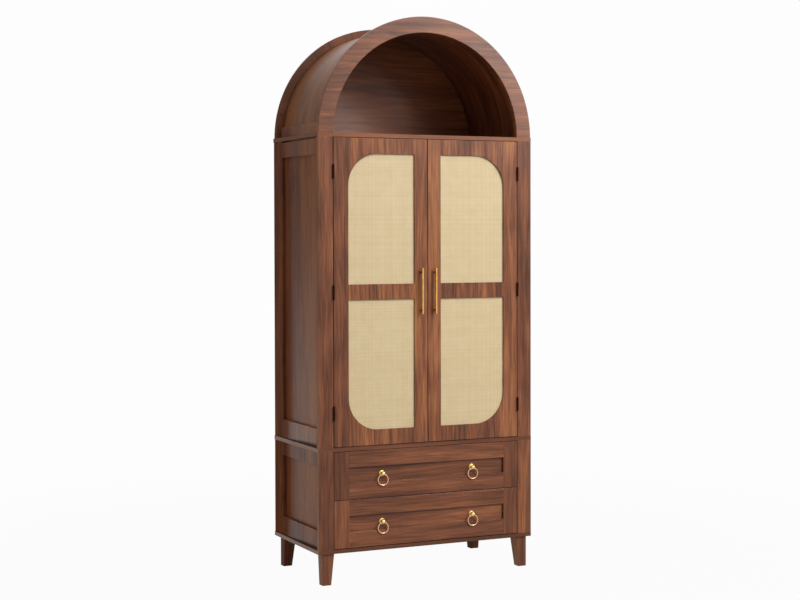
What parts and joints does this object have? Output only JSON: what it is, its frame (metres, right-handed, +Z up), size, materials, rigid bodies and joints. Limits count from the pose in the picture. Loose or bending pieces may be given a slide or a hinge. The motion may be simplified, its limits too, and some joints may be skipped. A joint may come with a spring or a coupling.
{
  "type": "arched cane-door cabinet",
  "caption": "Tall walnut-veneered cabinet with an open arched niche on top, inset cane-panelled doors on butt hinges, framed drawers with ring pulls, and tapered legs.",
  "frame": {"origin": "on the floor under the centre of the whole cabinet's box, handles included", "axes": "+Z up, front with doors and drawers towards -Y, +X to the right of someone facing the front"},
  "size_m": [0.8, 0.426, 1.8893],
  "materials": {
    "walnut_veneer": "satin walnut veneer",
    "inner_wood": "matt walnut-look lining",
    "woven_cane": "close woven natural cane",
    "polished_brass": "polished gold-toned brass",
    "pale_gold_ring": "satin pale gold",
    "black_hinge": "matt black",
    "zinc_steel": "zinc plated",
    "dark_plastic": "brown moulded plastic"
  },
  "bodies": {
    "carcass": {"arch_aprons": "walnut_veneer", "arch_back_hoop": "walnut_veneer", "arch_front_ring": "walnut_veneer", "arch_vault": "walnut_veneer", "base_board": "walnut_veneer", "door_catches": "dark_plastic", "hinge_pins": "black_hinge", "leg_back_left": "walnut_veneer", "leg_back_right": "walnut_veneer", "leg_bolts": "zinc_steel", "leg_front_left": "walnut_veneer", "leg_front_right": "walnut_veneer", "lower_back_panel": "walnut_veneer", "lower_post_left": "walnut_veneer", "lower_post_right": "walnut_veneer", "lower_side_frames": "walnut_veneer", "lower_side_panel_left": "walnut_veneer", "lower_side_panel_right": "walnut_veneer", "mid_board": "walnut_veneer", "niche_back_panel": "walnut_veneer", "post_hinge_leaves": "black_hinge", "runner_channels": "zinc_steel", "runner_spacers": "inner_wood", "shelf_pins": "zinc_steel", "shelves": "walnut_veneer", "top_board": "walnut_veneer", "upper_back_panel": "walnut_veneer", "upper_post_left": "walnut_veneer", "upper_post_right": "walnut_veneer", "upper_side_frames": "walnut_veneer", "upper_side_panel_left": "walnut_veneer", "upper_side_panel_right": "walnut_veneer"},
    "left_door": {"left_catch_plate": "zinc_steel", "left_door_frame": "walnut_veneer", "left_door_hinge_leaves": "black_hinge", "left_handle": "polished_brass", "left_lower_cane": "woven_cane", "left_upper_cane": "woven_cane"},
    "right_door": {"right_catch_plate": "zinc_steel", "right_door_frame": "walnut_veneer", "right_door_hinge_leaves": "black_hinge", "right_handle": "polished_brass", "right_lower_cane": "woven_cane", "right_upper_cane": "woven_cane"},
    "lower_drawer": {"lower_drawer_bottom": "inner_wood", "lower_drawer_box": "inner_wood", "lower_drawer_frame": "walnut_veneer", "lower_drawer_panel": "walnut_veneer", "lower_drawer_slides": "zinc_steel", "lower_pull_knobs": "polished_brass"},
    "lower_left_pull_ring": {"lower_ring_left": "pale_gold_ring"},
    "lower_right_pull_ring": {"lower_ring_right": "pale_gold_ring"},
    "upper_drawer": {"upper_drawer_bottom": "inner_wood", "upper_drawer_box": "inner_wood", "upper_drawer_frame": "walnut_veneer", "upper_drawer_panel": "walnut_veneer", "upper_drawer_slides": "zinc_steel", "upper_pull_knobs": "polished_brass"},
    "upper_left_pull_ring": {"upper_ring_left": "pale_gold_ring"},
    "upper_right_pull_ring": {"upper_ring_right": "pale_gold_ring"}
  },
  "joints": [
    {"name": "left_door_swing", "type": "hinge", "parent": "carcass", "child": "left_door", "pos_m": [-0.3453, -0.1984, 0.9665], "axis": [0, 0, -1], "range_deg": [0, 110]},
    {"name": "right_door_swing", "type": "hinge", "parent": "carcass", "child": "right_door", "pos_m": [0.3453, -0.1984, 0.9665], "axis": [0, 0, 1], "range_deg": [0, 110]},
    {"name": "lower_drawer_slide", "type": "slide", "parent": "carcass", "child": "lower_drawer", "axis": [0, -1, 0], "range_m": [0, 0.27]},
    {"name": "lower_left_ring_swing", "type": "hinge", "parent": "lower_drawer", "child": "lower_left_pull_ring", "pos_m": [-0.169, -0.198, 0.195], "axis": [-1, 0, 0], "range_deg": [0, 100]},
    {"name": "lower_right_ring_swing", "type": "hinge", "parent": "lower_drawer", "child": "lower_right_pull_ring", "pos_m": [0.169, -0.198, 0.195], "axis": [-1, 0, 0], "range_deg": [0, 100]},
    {"name": "upper_drawer_slide", "type": "slide", "parent": "carcass", "child": "upper_drawer", "axis": [0, -1, 0], "range_m": [0, 0.27]},
    {"name": "upper_left_ring_swing", "type": "hinge", "parent": "upper_drawer", "child": "upper_left_pull_ring", "pos_m": [-0.169, -0.198, 0.356], "axis": [-1, 0, 0], "range_deg": [0, 100]},
    {"name": "upper_right_ring_swing", "type": "hinge", "parent": "upper_drawer", "child": "upper_right_pull_ring", "pos_m": [0.169, -0.198, 0.356], "axis": [-1, 0, 0], "range_deg": [0, 100]}
  ]
}
